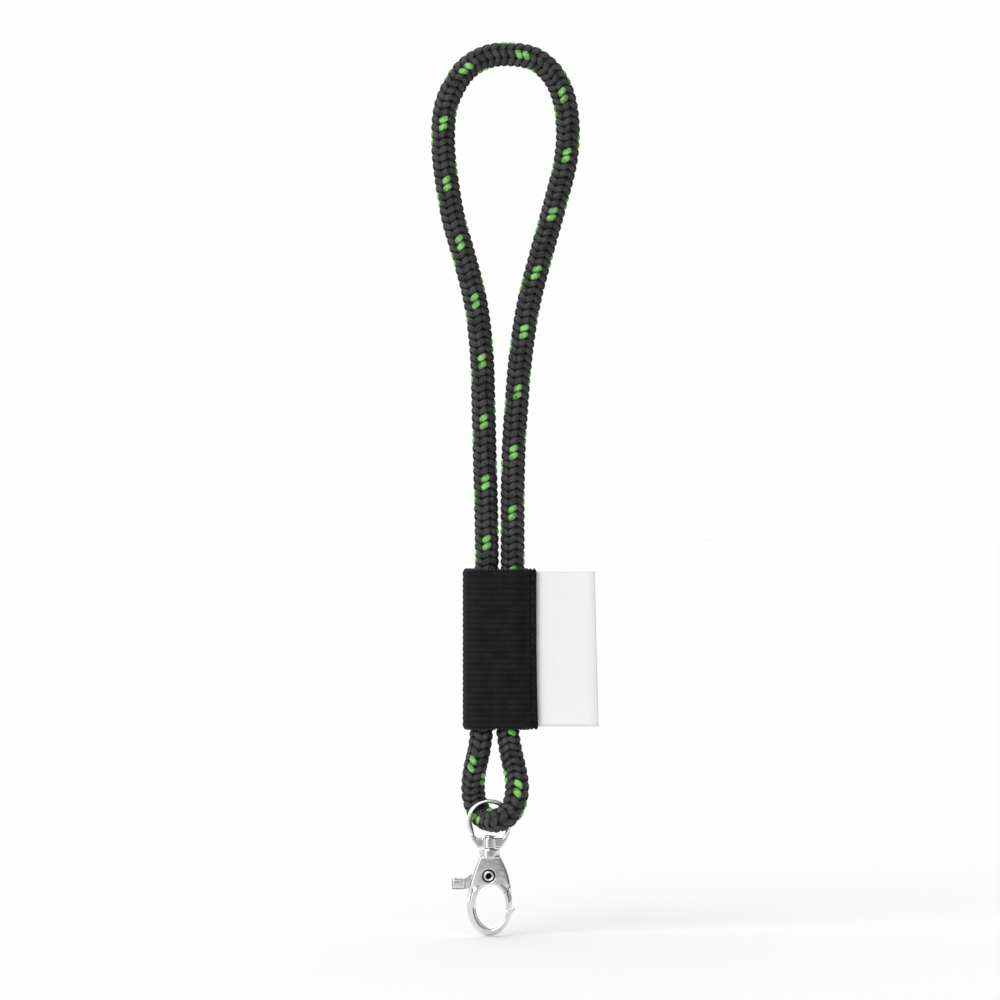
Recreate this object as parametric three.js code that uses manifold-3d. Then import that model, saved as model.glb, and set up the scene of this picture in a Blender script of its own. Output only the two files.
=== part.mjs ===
// A braided-cord lanyard: a hand loop and a short lower loop of round cord, joined inside a folded
// webbing sleeve with a label in its seam, and a plated swivel trigger clasp on the lower loop.
// Millimetres. +Z is up, +X to the right, -Y to the front. The origin is the inner top of the hand
// loop, which is the point that the lanyard hangs from.
import * as THREE from "three";
import { mergeVertices } from "three/addons/utils/BufferGeometryUtils.js";
import Module from "manifold-3d";

const wasm = await Module();
wasm.setup();

// Cord
const cordDiameter = 6.7;
const coreDiameter = 4.3;
const coreGap = 0.3;
const cordSides = 10;
const handLoopSteps = 32;
const lowerLoopSteps = 22;
const cordEndGap = 0.3;

// Wraps round the butt joints
const wrapWall = 0.35;
const wrapGap = 0.25;
const wrapLength = 8;
const leftJoint = new THREE.Vector3(-7.0, 0, -160.7);
const rightJoint = new THREE.Vector3(1.1, 0, -171.6);

// Sleeve: a strip of webbing folded round the cords, its two edges sewn together at the right
const sleeveTop = -143.6;
const sleeveLength = 45.1;
const webbingThickness = 0.9;
const sleeveGap = 0.2;
const sleeveLeft = -12.4;
const seamEnd = 8.0;
const sleeveBottom = sleeveTop - sleeveLength;

// Label: satin ribbon folded double, its ends caught in the seam
const labelThickness = 0.5;
const labelGap = 0.2;
const labelWidthTop = 16.0;
const labelWidthBottom = 17.1;
const labelInset = 0.6;
const labelHemGap = 0.5;
const labelTabDepth = 1.6;

// Seam threads
const threadDiameter = 0.45;
const threadGap = 0.15;
const threadInset = 2;

// Swivel eye
const claspX = -5.3;
const eyeCentreZ = -215.2;
const eyeOuterRadius = 6.4;
const eyeWireWidth = 1.3;
const eyeDepth = 1.8;
const eyeFloorZ = -219.95;
const eyeBottomZ = -222.85;
const eyeFootHalfWidth = 3.4;
const eyeShoulderHalfWidth = 5.0;
const eyeShoulderRise = 2.2;
const eyeShoulderAngle = 0.25;
const eyeFloorHalfWidth = 3.7;
const eyeCornerHalfWidth = 4.3;
const eyeCornerRise = 0.7;
const eyeCornerAngle = 0.1;
const bossRadius = 2.0;

// Swivel rivet
const shankRadius = 1.0;
const shankClearance = 0.25;
const rivetHeadRadius = 1.75;
const rivetHeadHeight = 1.0;
const rivetSeatGap = 0.15;
const rivetEmbed = 4.1;

// Hook
const collarGap = 0.25;
const collarRadius = 2.9;
const collarHeight = 2.0;
const headDepth = 5.0;
const bandDepth = 3.4;
const hookHalfWidth = 6.35;
const hookBottomZ = -247.8;
const hookWideZ = -239.2;
const openingCentre = new THREE.Vector2(0.33, -239.25);
const openingRadii = new THREE.Vector2(4.4, 6.25);
const headBottomZ = -235.4;
const leftShoulderPull = new THREE.Vector2(-4.6, -4.4);
const rightShoulderPull = new THREE.Vector2(5.4, -4.4);
const sidePull = 5.7;
const edgeRounding = 0.7;

// Gate
const pivotX = -0.2;
const pivotZ = -230.7;
const slotWidth = 2.0;
const slotRoofZ = -228.0;
const slotFloorZ = -234.7;
const gatePlate = 1.4;
const hubRadius = 2.15;
const cheekReach = 6.5;
const gateGap = 0.3;
const gateSideInset = 1.5;
const slotOverrun = 1;
const tipReach = 11.1;
const leverTopZ = -231.6;
const leverBottomZ = -234.4;
const leverEndX = -10.55;
const padStartX = -7.1;
const padDepth = 3.6;

// Gate rivet and spring
const gateRivetRadius = 1.1;
const gateRivetBore = 0.8;
const gateRivetFlange = 1.45;
const gateRivetFlangeHeight = 0.35;
const gateRivetWeb = 0.6;
const gateRivetClearance = 0.15;
const springX = -3.3;
const springRadius = 0.6;
const springWire = 0.3;
const springTurns = 4;
const springGap = 0.2;

// Centre line of the hand loop, from its left end inside the sleeve round the top to its right end
const handLoopRoute = [
  [-7.0, 0, -157], [-6.9, 0, -151], [-6.15, 0, -143.6], [-6.1, 0, -134], [-6.3, 0, -123.7],
  [-6.7, 0, -109.4], [-7.05, 0, -95.2], [-7.6, 0, -80.9], [-9.4, 0, -66.7], [-13.1, 0, -52.4],
  [-15.5, 0, -43.9], [-17.5, 0, -32.5], [-18.5, 0, -22.0], [-17.9, 0, -12.5], [-15.9, 0, -6.8],
  [-11.9, 0, -0.9], [-6.2, 0, 2.5], [0, 0, 3.35], [7.6, 0, 1.9], [12.8, 0, -2.6],
  [15.8, 0, -8.9], [17.05, 0, -18.2], [16.4, 0, -27.0], [13.7, 0, -38.2], [9.8, 0, -52.4],
  [6.1, 0, -66.7], [3.8, 0, -80.9], [2.5, 0, -95.2], [1.6, 0, -109.4], [1.3, 0, -123.7],
  [1.3, 0, -143.6], [1.15, 0, -157], [1.1, 0, -168],
];

// Centre line of the lower loop, from its left end down behind the eye, through it, and up in front
const lowerLoopRoute = [
  [-7.0, 0, -165], [-7.15, 0, -174], [-7.35, 0, -182], [-7.5, 0, -188.7], [-8.25, 0.5, -194.9],
  [-9.5, 2.2, -200.6], [-10.0, 3.9, -205.2], [-9.7, 4.8, -209.0], [-8.6, 4.5, -212.2],
  [-6.9, 2.6, -214.3], [-5.1, 0, -214.9], [-3.5, -2.6, -214.9], [-1.4, -4.6, -214.1],
  [0.8, -5.1, -212.2], [2.1, -4.8, -209.0], [2.55, -3.8, -205.2], [1.95, -2.0, -200.6],
  [0.7, -0.5, -194.9], [-0.1, 0, -188.7], [0.55, 0, -182], [1.0, 0, -176],
];

const finishes = {
  sheath: { color: 0x3b3b3b, roughness: 0.85, metalness: 0 },
  core: { color: 0x2a2a2a, roughness: 0.95, metalness: 0 },
  wrap: { color: 0x1c1c1c, roughness: 0.6, metalness: 0 },
  webbing: { color: 0x222222, roughness: 0.9, metalness: 0 },
  thread: { color: 0x141414, roughness: 0.7, metalness: 0 },
  satin: { color: 0xf1f1f1, roughness: 0.45, metalness: 0 },
  plated: { color: 0xd4d4d2, roughness: 0.12, metalness: 1 },
  spring: { color: 0x9a9a98, roughness: 0.3, metalness: 1 },
};

// A closed geometry as a solid that can be joined and cut.
function solid(geometry) {
  const bare = new THREE.BufferGeometry();
  const source = geometry.index ? geometry.toNonIndexed() : geometry;
  bare.setAttribute("position", source.getAttribute("position"));
  const merged = mergeVertices(bare, 1e-4);
  return new wasm.Manifold(
    new wasm.Mesh({
      numProp: 3,
      vertProperties: new Float32Array(merged.attributes.position.array),
      triVerts: new Uint32Array(merged.index.array),
    }),
  );
}

function geometryOf(made) {
  const mesh = made.getMesh();
  const geometry = new THREE.BufferGeometry();
  geometry.setAttribute("position", new THREE.BufferAttribute(mesh.vertProperties, 3));
  geometry.setIndex(new THREE.BufferAttribute(mesh.triVerts, 1));
  geometry.computeVertexNormals();
  return geometry;
}

const lanyard = new THREE.Group();

function add(name, geometry, finish) {
  const mesh = new THREE.Mesh(geometry, new THREE.MeshStandardMaterial(finishes[finish]));
  mesh.name = name;
  lanyard.add(mesh);
}

// An outline in X and Z, given thickness along Y about the plane Y = 0.
function slab(outline, thickness, { rounding = 0, curveSegments = 14 } = {}) {
  const geometry = new THREE.ExtrudeGeometry(outline, {
    depth: thickness - 2 * rounding,
    bevelEnabled: rounding > 0,
    bevelThickness: rounding,
    bevelSize: rounding,
    bevelOffset: -rounding,
    bevelSegments: 2,
    curveSegments,
  });
  geometry.translate(0, 0, rounding - thickness / 2);
  geometry.rotateX(Math.PI / 2);
  return geometry;
}

function block(low, high) {
  const geometry = new THREE.BoxGeometry(high[0] - low[0], high[1] - low[1], high[2] - low[2]);
  geometry.translate((low[0] + high[0]) / 2, (low[1] + high[1]) / 2, (low[2] + high[2]) / 2);
  return geometry;
}

function rodAlongY(radius, length, x, z, sides = 24) {
  const geometry = new THREE.CylinderGeometry(radius, radius, length, sides);
  geometry.translate(x, 0, z);
  return geometry;
}

function rodAlongZ(radius, lowZ, highZ, x, sides = 24) {
  const geometry = new THREE.CylinderGeometry(radius, radius, highZ - lowZ, sides);
  geometry.rotateX(Math.PI / 2);
  geometry.translate(x, 0, (lowZ + highZ) / 2);
  return geometry;
}

// A profile of [radius, height] turned about the Z axis.
function turned(profile, sides = 20) {
  const points = profile.map(([radius, height]) => new THREE.Vector2(radius, height));
  const geometry = new THREE.LatheGeometry(points, sides);
  geometry.rotateX(Math.PI / 2);
  return geometry;
}

function circle(radius, sides) {
  const corners = [];
  for (let i = 0; i < sides; i++) {
    const turn = (2 * Math.PI * i) / sides;
    corners.push(new THREE.Vector2(radius * Math.cos(turn), radius * Math.sin(turn)));
  }
  return corners;
}

function routeOf(points) {
  const places = points.map(([x, y, z]) => new THREE.Vector3(x, y, z));
  return new THREE.CatmullRomCurve3(places, false, "centripetal");
}

function alongRoute(section, route, steps) {
  return new THREE.ExtrudeGeometry(section, { steps, bevelEnabled: false, extrudePath: route });
}

// Each cord: a braided sheath round a core of straight yarns, both open at their cut ends.
function addCord(name, points, steps) {
  const route = routeOf(points);
  const sheath = new THREE.Shape(circle(cordDiameter / 2, cordSides));
  sheath.holes.push(new THREE.Path(circle(coreDiameter / 2 + coreGap, cordSides).reverse()));
  const core = new THREE.Shape(circle(coreDiameter / 2, cordSides));
  add(name + "_sheath", alongRoute(sheath, route, steps), "sheath");
  add(name + "_core", alongRoute(core, route, steps), "core");
}

// The cords run up to their joints, which keep the cut ends a little apart.
function withEnds(points, start, end) {
  return [start, ...points, end];
}

const half = cordEndGap / 2;
addCord(
  "hand_loop",
  withEnds(
    handLoopRoute,
    [leftJoint.x, leftJoint.y, leftJoint.z + half],
    [rightJoint.x, rightJoint.y, rightJoint.z + half],
  ),
  handLoopSteps,
);
addCord(
  "lower_loop",
  withEnds(
    lowerLoopRoute,
    [leftJoint.x, leftJoint.y, leftJoint.z - half],
    [rightJoint.x, rightJoint.y, rightJoint.z - half],
  ),
  lowerLoopSteps,
);

// Wraps: a band of tape turned round each pair of cut ends.
const wrapInner = cordDiameter / 2 + wrapGap;
const wrapOuter = wrapInner + wrapWall;
for (const [side, joint] of [["left", leftJoint], ["right", rightJoint]]) {
  const wrap = turned([
    [wrapInner, -wrapLength / 2],
    [wrapOuter, -wrapLength / 2],
    [wrapOuter, wrapLength / 2],
    [wrapInner, wrapLength / 2],
    [wrapInner, -wrapLength / 2],
  ]);
  wrap.translate(joint.x, joint.y, joint.z);
  add("joint_wrap_" + side, wrap, "wrap");
}

// Sleeve: the strip's section, from the inside of its front edge round the fold to its back edge.
const cavityHalf = wrapOuter + sleeveGap;
const sleeveHalf = cavityHalf + webbingThickness;
const seamInner = labelThickness / 2 + labelGap;
const seamOuter = seamInner + webbingThickness;
const foldCentre = sleeveLeft + sleeveHalf;

// The angle at which a circle about the right-hand cord comes down to the height of the seam.
const meets = (radius, height) => Math.asin(height / radius);
const innerMeet = meets(cavityHalf, seamInner);
const outerMeet = meets(sleeveHalf, seamOuter);

function sleeveSection() {
  const section = new THREE.Shape();
  const right = rightJoint.x;
  section.moveTo(seamEnd, -seamOuter);
  section.lineTo(seamEnd, -seamInner);
  section.absarc(right, 0, cavityHalf, -innerMeet, -Math.PI / 2, true);
  section.absarc(foldCentre, 0, cavityHalf, -Math.PI / 2, Math.PI / 2, true);
  section.absarc(right, 0, cavityHalf, Math.PI / 2, innerMeet, true);
  section.lineTo(seamEnd, seamInner);
  section.lineTo(seamEnd, seamOuter);
  section.absarc(right, 0, sleeveHalf, outerMeet, Math.PI / 2, false);
  section.absarc(foldCentre, 0, sleeveHalf, Math.PI / 2, -Math.PI / 2, false);
  section.absarc(right, 0, sleeveHalf, -Math.PI / 2, -outerMeet, false);
  section.closePath();
  return section;
}

const sleeve = new THREE.ExtrudeGeometry(sleeveSection(), {
  depth: sleeveLength,
  bevelEnabled: false,
  curveSegments: 10,
});
sleeve.translate(0, 0, sleeveBottom);
add("sleeve", sleeve, "webbing");

// Label: the tab inside the seam, and the flap that stands out of it.
const labelTop = sleeveTop - labelHemGap;
const labelBottom = sleeveBottom + labelHemGap;
const labelFoldX = seamEnd + labelInset;
add(
  "label_tab",
  block(
    [seamEnd - labelTabDepth, -labelThickness / 2, labelBottom],
    [seamEnd, labelThickness / 2, labelTop],
  ),
  "satin",
);
const flap = new THREE.Shape([
  new THREE.Vector2(labelFoldX, labelBottom),
  new THREE.Vector2(labelFoldX + labelWidthBottom, labelBottom),
  new THREE.Vector2(labelFoldX + labelWidthTop, labelTop),
  new THREE.Vector2(labelFoldX, labelTop),
]);
add("label_flap", slab(flap, labelThickness), "satin");

// Seam threads: the needle thread in front and the bobbin thread behind.
const seamStart = rightJoint.x + sleeveHalf * Math.cos(outerMeet);
const threadX = (seamStart + seamEnd) / 2;
const threadY = seamOuter + threadGap + threadDiameter / 2;
for (const [side, sign] of [["front", -1], ["back", 1]]) {
  const thread = rodAlongZ(
    threadDiameter / 2,
    sleeveBottom + threadInset,
    sleeveTop - threadInset,
    threadX,
    8,
  );
  thread.translate(0, sign * threadY, 0);
  add("seam_thread_" + side, thread, "thread");
}

// The clasp is drawn about its swivel axis and moved to its place at the end.
function addClasp(name, made, finish = "plated") {
  add(name, geometryOf(made.translate([claspX, 0, 0])), finish);
}

// Swivel eye: a stirrup ring with a boss under it, bored for the rivet.
function eyeOutline() {
  const outline = new THREE.Shape();
  const shoulderZ = eyeBottomZ + eyeShoulderRise;
  const dip = eyeShoulderAngle;
  outline.moveTo(eyeFootHalfWidth, eyeBottomZ);
  outline.lineTo(eyeShoulderHalfWidth, shoulderZ);
  outline.absarc(0, eyeCentreZ, eyeOuterRadius, -dip, Math.PI + dip, false);
  outline.lineTo(-eyeShoulderHalfWidth, shoulderZ);
  outline.lineTo(-eyeFootHalfWidth, eyeBottomZ);
  outline.closePath();
  const opening = new THREE.Path();
  const innerRadius = eyeOuterRadius - eyeWireWidth;
  const cornerZ = eyeFloorZ + eyeCornerRise;
  opening.moveTo(eyeFloorHalfWidth, eyeFloorZ);
  opening.lineTo(eyeCornerHalfWidth, cornerZ);
  opening.absarc(0, eyeCentreZ, innerRadius, -eyeCornerAngle, Math.PI + eyeCornerAngle, false);
  opening.lineTo(-eyeCornerHalfWidth, cornerZ);
  opening.lineTo(-eyeFloorHalfWidth, eyeFloorZ);
  opening.closePath();
  outline.holes.push(opening);
  return outline;
}

const eyeRing = solid(slab(eyeOutline(), eyeDepth, { rounding: 0.4, curveSegments: 20 }));
const boss = solid(rodAlongZ(bossRadius, eyeBottomZ, eyeFloorZ, 0));
const eyeBore = solid(rodAlongZ(shankRadius + shankClearance, eyeBottomZ - 1, eyeFloorZ + 1, 0));
addClasp("swivel_eye", eyeRing.add(boss).subtract(eyeBore));

// Swivel rivet: domed head on the eye's floor, shank through the boss and into the hook's neck.
const headSeatZ = eyeFloorZ + rivetSeatGap;
const collarTopZ = eyeBottomZ - collarGap;
const shankEndZ = collarTopZ - rivetEmbed;
const swivelRivet = turned(
  [
    [0, shankEndZ],
    [shankRadius, shankEndZ],
    [shankRadius, headSeatZ],
    [rivetHeadRadius, headSeatZ],
    [rivetHeadRadius * 0.93, headSeatZ + rivetHeadHeight * 0.45],
    [rivetHeadRadius * 0.6, headSeatZ + rivetHeadHeight * 0.85],
    [0, headSeatZ + rivetHeadHeight],
  ],
  18,
);
addClasp("swivel_rivet", solid(swivelRivet));

// Hook: an egg-shaped outline with a collar at its top and an oval opening in its lower half.
function hookOutline() {
  const outline = new THREE.Shape();
  const shoulderZ = collarTopZ - collarHeight;
  outline.moveTo(-collarRadius, shoulderZ);
  const sideZ = hookWideZ + sidePull;
  const left = leftShoulderPull;
  const right = rightShoulderPull;
  outline.bezierCurveTo(left.x, shoulderZ + left.y, -hookHalfWidth, sideZ, -hookHalfWidth, hookWideZ);
  outline.absellipse(0, hookWideZ, hookHalfWidth, hookWideZ - hookBottomZ, Math.PI, 2 * Math.PI);
  outline.bezierCurveTo(hookHalfWidth, sideZ, right.x, shoulderZ + right.y, collarRadius, shoulderZ);
  outline.closePath();
  return outline;
}

function openingCut() {
  const path = new THREE.Path();
  const { x, y } = openingCentre;
  path.absellipse(x, y, openingRadii.x, openingRadii.y, 0, 2 * Math.PI, true);
  const outline = new THREE.Shape(path.getPoints(28).slice(1));
  return solid(slab(outline, 2 * headDepth));
}

const egg = solid(slab(hookOutline(), bandDepth, { rounding: edgeRounding }));
const deepEgg = solid(slab(hookOutline(), headDepth, { rounding: edgeRounding }));
const reach = 20;
const headZone = solid(block([-reach, -reach, headBottomZ], [reach, reach, collarTopZ + 1]));
const collar = solid(
  rodAlongZ(collarRadius, collarTopZ - collarHeight - 0.5, collarTopZ, 0),
);
const rivetBore = solid(
  rodAlongZ(shankRadius + shankClearance, shankEndZ - rivetSeatGap, collarTopZ + 1, 0),
);
const wholeHook = egg.add(deepEgg.intersect(headZone)).add(collar).subtract(openingCut());

const pivotDisc = (radius) => solid(rodAlongY(radius, 2 * headDepth, pivotX, pivotZ, 40));
const gateSide = solid(
  block([openingCentre.x + gateSideInset, -reach, pivotZ - reach], [reach, reach, pivotZ]),
);
const gateZone = gateSide.intersect(pivotDisc(tipReach + gateGap)).subtract(pivotDisc(cheekReach));
const slotEndZ = pivotZ - cheekReach - slotOverrun;
const slot = solid(
  block([-reach, -slotWidth / 2, slotFloorZ], [reach, slotWidth / 2, slotRoofZ]),
).add(
  solid(block([0, -slotWidth / 2, slotEndZ], [reach, slotWidth / 2, slotRoofZ])),
);
const pivotBore = pivotDisc(gateRivetRadius + gateRivetClearance);
addClasp(
  "hook_body",
  wholeHook.subtract(rivetBore).subtract(slot).subtract(gateZone).subtract(pivotBore),
);

// Gate: a plate in the slot that carries the gate bar at the right and the thumb pad at the left.
const plateZone = solid(
  block([pivotX, -gatePlate / 2, slotEndZ], [reach, gatePlate / 2, pivotZ + hubRadius / 2]),
);
const barZone = gateSide.intersect(pivotDisc(tipReach)).subtract(pivotDisc(cheekReach + gateGap));
const gateBar = egg.subtract(openingCut()).intersect(barZone);
const gateWeb = deepEgg.intersect(plateZone).subtract(openingCut());
const hub = solid(rodAlongY(hubRadius, gatePlate, pivotX, pivotZ, 28));
const lever = solid(
  block([padStartX, -gatePlate / 2, leverBottomZ], [pivotX, gatePlate / 2, leverTopZ]),
);
const padShape = new THREE.Shape([
  new THREE.Vector2(leverEndX, leverBottomZ),
  new THREE.Vector2(padStartX, leverBottomZ),
  new THREE.Vector2(padStartX, leverTopZ),
  new THREE.Vector2(leverEndX, leverTopZ),
]);
const pad = solid(slab(padShape, padDepth, { rounding: 0.4 }));
addClasp(
  "gate",
  gateWeb.add(hub).add(lever).subtract(openingCut()).add(gateBar).add(pad).subtract(pivotBore),
);

// Gate rivet: hollow at both ends, with a rolled flange on each cheek and a solid middle.
const flangeSeat = headDepth / 2 + gateRivetClearance;
const flangeTop = flangeSeat + gateRivetFlangeHeight;
const gateRivet = new THREE.LatheGeometry(
  [
    [0, -gateRivetWeb],
    [gateRivetBore, -gateRivetWeb],
    [gateRivetBore, -flangeTop],
    [gateRivetFlange, -flangeTop],
    [gateRivetFlange, -flangeSeat],
    [gateRivetRadius, -flangeSeat],
    [gateRivetRadius, flangeSeat],
    [gateRivetFlange, flangeSeat],
    [gateRivetFlange, flangeTop],
    [gateRivetBore, flangeTop],
    [gateRivetBore, gateRivetWeb],
    [0, gateRivetWeb],
  ].map(([radius, height]) => new THREE.Vector2(radius, height)),
  20,
);
gateRivet.translate(pivotX, 0, pivotZ);
addClasp("gate_rivet", solid(gateRivet));

// Gate spring: a short compression coil between the lever and the slot's roof.
class Coil extends THREE.Curve {
  constructor(radius, turns, lowZ, highZ) {
    super();
    Object.assign(this, { radius, turns, lowZ, highZ });
  }

  getPoint(t, target = new THREE.Vector3()) {
    const turn = 2 * Math.PI * this.turns * t;
    const z = this.lowZ + (this.highZ - this.lowZ) * t;
    return target.set(this.radius * Math.cos(turn), this.radius * Math.sin(turn), z);
  }
}

const springLow = leverTopZ + springGap + springWire / 2;
const springHigh = slotRoofZ - springGap - springWire / 2;
const coil = new Coil(springRadius, springTurns, springLow, springHigh);
const wire = new THREE.Shape(circle(springWire / 2, 6));
const spring = alongRoute(wire, coil, springTurns * 12);
spring.translate(springX, 0, 0);
addClasp("gate_spring", solid(spring), "spring");

export default lanyard;
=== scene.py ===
"""A hanging lanyard: braided cord loops, a webbing sleeve with a satin label, and a swivel clasp."""
import math
import bmesh
import bpy
from mathutils import Matrix, Vector
from mathutils.geometry import interpolate_bezier


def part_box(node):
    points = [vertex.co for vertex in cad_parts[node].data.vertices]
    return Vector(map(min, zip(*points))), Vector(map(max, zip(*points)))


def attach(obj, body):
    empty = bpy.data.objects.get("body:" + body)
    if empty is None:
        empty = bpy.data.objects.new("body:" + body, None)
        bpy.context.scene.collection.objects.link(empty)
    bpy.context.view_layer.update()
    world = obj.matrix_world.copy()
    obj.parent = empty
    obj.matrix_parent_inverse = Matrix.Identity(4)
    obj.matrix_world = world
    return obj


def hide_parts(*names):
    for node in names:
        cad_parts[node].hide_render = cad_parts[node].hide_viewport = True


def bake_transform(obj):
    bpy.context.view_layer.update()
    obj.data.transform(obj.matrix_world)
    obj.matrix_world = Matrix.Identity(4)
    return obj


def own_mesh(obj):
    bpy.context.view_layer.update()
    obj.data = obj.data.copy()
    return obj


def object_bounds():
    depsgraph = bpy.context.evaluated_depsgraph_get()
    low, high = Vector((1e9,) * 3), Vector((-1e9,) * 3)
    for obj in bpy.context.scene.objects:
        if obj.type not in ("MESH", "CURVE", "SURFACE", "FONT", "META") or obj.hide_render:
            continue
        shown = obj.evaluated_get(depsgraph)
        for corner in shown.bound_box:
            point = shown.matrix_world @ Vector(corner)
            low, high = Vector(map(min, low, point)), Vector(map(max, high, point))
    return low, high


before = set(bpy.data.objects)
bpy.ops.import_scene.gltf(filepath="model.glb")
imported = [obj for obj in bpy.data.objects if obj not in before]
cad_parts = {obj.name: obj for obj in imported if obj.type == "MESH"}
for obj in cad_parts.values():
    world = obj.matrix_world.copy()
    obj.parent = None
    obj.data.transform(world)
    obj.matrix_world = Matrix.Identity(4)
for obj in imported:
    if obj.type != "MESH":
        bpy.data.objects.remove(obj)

cad_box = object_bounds()
scene = bpy.context.scene
sleeve_low, sleeve_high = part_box("sleeve")
MM = 0.001


# ---------------------------------------------------------------------------------------------
# Camera: a long lens, square on to the front, level with the middle of the hanging lanyard.
# ---------------------------------------------------------------------------------------------
view_width = 0.285
camera_distance = 1.6
sensor_width = 36

camera = bpy.data.objects.new("camera", bpy.data.cameras.new("camera"))
camera.data.sensor_width = sensor_width
camera.data.lens = sensor_width * camera_distance / view_width
camera.data.clip_end = 20
camera.location = (-0.0023, -camera_distance, -0.1237)
camera.rotation_euler = (math.radians(90), 0, 0)
scene.collection.objects.link(camera)
scene.camera = camera


# ---------------------------------------------------------------------------------------------
# Cords: 6.7 mm accessory cord, a sixteen-carrier braid of dyed polyester over a yarn core. Eight
# yarns run each way round, over two and under two; two neighbouring yarns are bright green, and
# show as pairs of short dashes. The lower loop is cut from cord whose marker runs the other way.
# ---------------------------------------------------------------------------------------------
cord_diameter = 6.7 * MM
braid_lead = 17.5 * MM
carriers_each_way = 8
yarn_width = 1.56 * MM
yarn_thickness = 0.86 * MM
yarn_rise = 0.34 * MM
yarn_radius = cord_diameter / 2 + 0.06 * MM - yarn_rise - yarn_thickness / 2
yarn_sides = 8
yarn_steps = 32
yarn_swell = 0.22
yarn_lag = 0.17 * MM
wave_softness = 1.2
core_radius = 2.15 * MM
core_sides = 24
core_gap = 0.15 * MM
columns = 4

left_joint = Vector((-7.0, 0, -160.7)) * MM
right_joint = Vector((1.1, 0, -171.6)) * MM
cut_gap = Vector((0, 0, 0.15)) * MM

hand_loop_points = [
    (-7.0, 0, -157), (-6.9, 0, -151), (-6.15, 0, -143.6), (-6.1, 0, -134), (-6.3, 0, -123.7),
    (-6.7, 0, -109.4), (-7.05, 0, -95.2), (-7.6, 0, -80.9), (-9.4, 0, -66.7), (-13.1, 0, -52.4),
    (-15.5, 0, -43.9), (-17.5, 0, -32.5), (-18.5, 0, -22.0), (-17.9, 0, -12.5), (-15.9, 0, -6.8),
    (-11.9, 0, -0.9), (-6.2, 0, 2.5), (0, 0, 3.35), (7.6, 0, 1.9), (12.8, 0, -2.6),
    (15.8, 0, -8.9), (17.05, 0, -18.2), (16.4, 0, -27.0), (13.7, 0, -38.2), (9.8, 0, -52.4),
    (6.1, 0, -66.7), (3.8, 0, -80.9), (2.5, 0, -95.2), (1.6, 0, -109.4), (1.3, 0, -123.7),
    (1.3, 0, -143.6), (1.15, 0, -157), (1.1, 0, -168),
]
lower_loop_points = [
    (-7.0, 0, -165), (-7.15, 0, -174), (-7.35, 0, -182), (-7.5, 0, -188.7), (-8.25, 0.5, -194.9),
    (-9.5, 2.2, -200.6), (-10.0, 3.9, -205.2), (-9.7, 4.8, -209.0), (-8.6, 4.5, -212.2),
    (-6.9, 2.6, -214.3), (-5.1, 0, -214.9), (-3.5, -2.6, -214.9), (-1.4, -4.6, -214.1),
    (0.8, -5.1, -212.2), (2.1, -4.8, -209.0), (2.55, -3.8, -205.2), (1.95, -2.0, -200.6),
    (0.7, -0.5, -194.9), (-0.1, 0, -188.7), (0.55, 0, -182), (1.0, 0, -176),
]


def route(points, start, end, twist):
    """The cord's centre line: a smooth curve through its points, as a Bezier spline. The cord
    turns about it by twist, evenly, from one end to the other."""
    places = [start] + [Vector(p) * MM for p in points] + [end]
    places = [2 * places[0] - places[1]] + places + [2 * places[-1] - places[-2]]
    curve = bpy.data.curves.new("route", "CURVE")
    curve.dimensions = "3D"
    curve.resolution_u = 24
    curve.twist_mode = "MINIMUM"
    spline = curve.splines.new("BEZIER")
    spline.bezier_points.add(len(places) - 3)
    for knot, before, here, after in zip(spline.bezier_points, places, places[1:], places[2:]):
        back, ahead = math.sqrt((here - before).length), math.sqrt((after - here).length)
        slope = (here - before) / back - (after - before) / (back + ahead) + (after - here) / ahead
        knot.co = here
        knot.handle_left = here - slope * back / 3
        knot.handle_right = here + slope * ahead / 3
    for place, knot in enumerate(spline.bezier_points):
        knot.tilt = twist * place / (len(spline.bezier_points) - 1)
    return curve


def line_of(curve):
    """Points close together along the centre line."""
    knots = curve.splines[0].bezier_points
    line = [knots[0].co.copy()]
    for a, b in zip(knots, knots[1:]):
        line += interpolate_bezier(a.co, a.handle_right, b.handle_left, b.co, 13)[1:]
    return line


def float_wave(turn):
    """How high a yarn stands at an angle round the cord: 1 on top of a float, -1 underneath."""
    swing = math.cos(columns * turn)
    return swing * math.sqrt((1 + wave_softness) / (swing * swing + wave_softness))


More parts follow.
